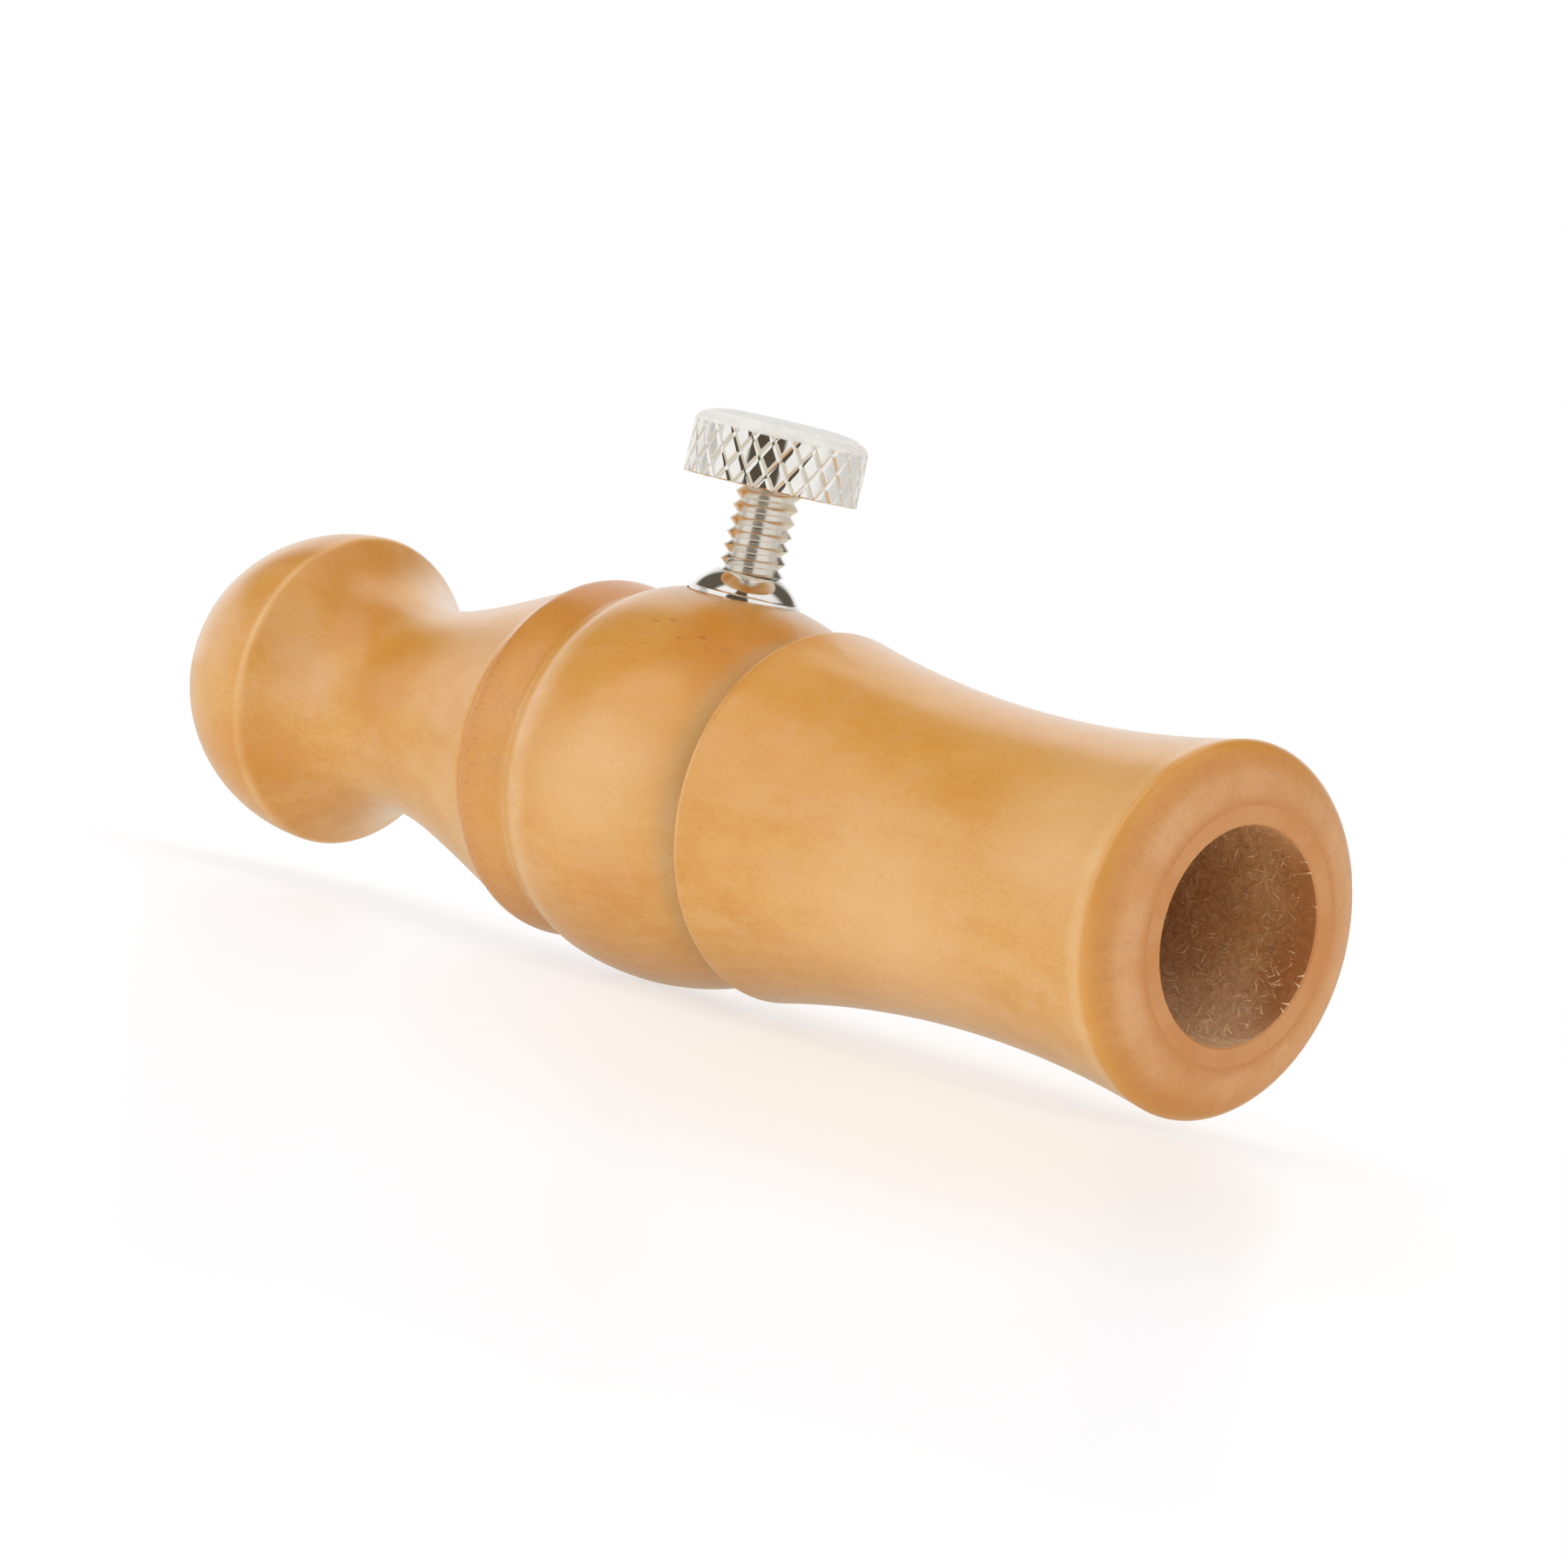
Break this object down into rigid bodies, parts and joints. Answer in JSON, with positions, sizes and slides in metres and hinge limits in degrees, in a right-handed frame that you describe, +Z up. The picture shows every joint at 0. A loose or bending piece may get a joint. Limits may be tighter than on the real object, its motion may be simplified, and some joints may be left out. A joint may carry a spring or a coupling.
{
  "type": "roe deer call",
  "caption": "Turned wooden roe deer call with a flared horn, a ball body and a mouth knob; a knurled thumbscrew presses on the reed inside to tune it.",
  "frame": {"origin": "on the surface the call lies on, under the middle of its length and width", "axes": "+X along the call towards its bell, +Z up along the thumbscrew, +Y across"},
  "size_m": [0.0878, 0.025, 0.036],
  "materials": {
    "wood": "satin lacquer",
    "nickel_plate": "polished plate",
    "hard_plastic": "matte",
    "reed_brass": "rolled",
    "nylon": "matte",
    "rubber": "matte"
  },
  "bodies": {
    "barrel": {"barrel": "wood", "screw_bush": "nickel_plate", "toneboard": "hard_plastic", "reed_wedge": "hard_plastic", "inner_o_ring": "rubber", "outer_o_ring": "rubber"},
    "foot": {"screw_foot": "nylon"},
    "screw": {"thumbscrew": "nickel_plate"},
    "reed": {"reed": "reed_brass"},
    "horn": {"horn": "wood"}
  },
  "joints": [
    {"name": "foot_slide", "type": "slide", "parent": "barrel", "child": "foot", "axis": [0, 0, 1], "range_m": [-0.00128, 0]},
    {"name": "screw_turn", "type": "hinge", "parent": "foot", "child": "screw", "pos_m": [-0.00255, 0, 0.0311], "axis": [0, 0, 1], "range_deg": [-540, 0]},
    {"name": "reed_bend", "type": "hinge", "parent": "barrel", "child": "reed", "pos_m": [0.00845, 0, 0.0137], "axis": [0, 1, 0], "range_deg": [-6.7, 0]},
    {"name": "horn_pull", "type": "slide", "parent": "barrel", "child": "horn", "axis": [1, 0, 0], "range_m": [0, 0.0095]}
  ],
  "couplings": [
    {"joint": "screw_turn", "follows": "foot_slide", "rad_per_m": 7392},
    {"joint": "reed_bend", "follows": "foot_slide", "rad_per_m": 90.909}
  ]
}
